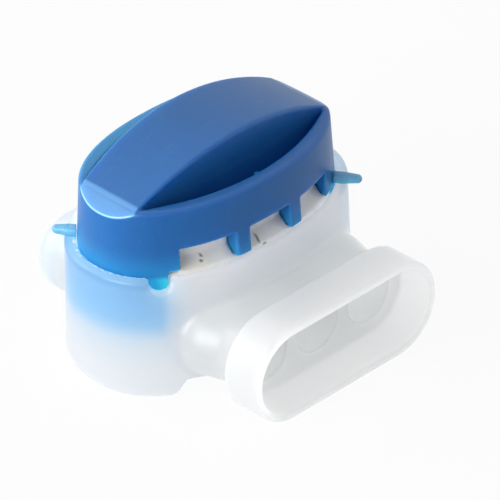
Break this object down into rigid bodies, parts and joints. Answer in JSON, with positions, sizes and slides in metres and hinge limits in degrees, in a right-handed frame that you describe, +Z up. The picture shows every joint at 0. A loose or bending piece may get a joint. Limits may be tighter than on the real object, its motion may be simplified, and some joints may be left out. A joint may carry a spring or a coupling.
{
  "type": "boundary wire connector",
  "caption": "Gel-filled self-stripping wire connector: a milky cup with a flared collar of round wire holes, and a blue press-down cap with a crowned grip rib.",
  "frame": {"origin": "middle of the overall length and width, on the plane of the two feet", "axes": "+Z up along the cap's travel, -Y out of the collar's mouth, X along the cup's long axis"},
  "size_m": [0.0244, 0.0248, 0.0186],
  "materials": {
    "milky_plastic": "translucent milky moulding, soft gloss",
    "blue_plastic": "satin blue moulding",
    "tinned_metal": "tin-plated sheet",
    "sealant": "translucent soft sealant",
    "thin_blue_plastic": "thin translucent blue moulding"
  },
  "bodies": {
    "base": {"housing": "milky_plastic", "shear_pin_left": "thin_blue_plastic", "shear_pin_right": "thin_blue_plastic"},
    "press_cap": {"cap": "blue_plastic", "contact": "tinned_metal", "sealant_gel": "sealant"}
  },
  "joints": [
    {"name": "cap_press", "type": "slide", "parent": "base", "child": "press_cap", "axis": [0, 0, -1], "range_m": [0, 0.0033]}
  ]
}
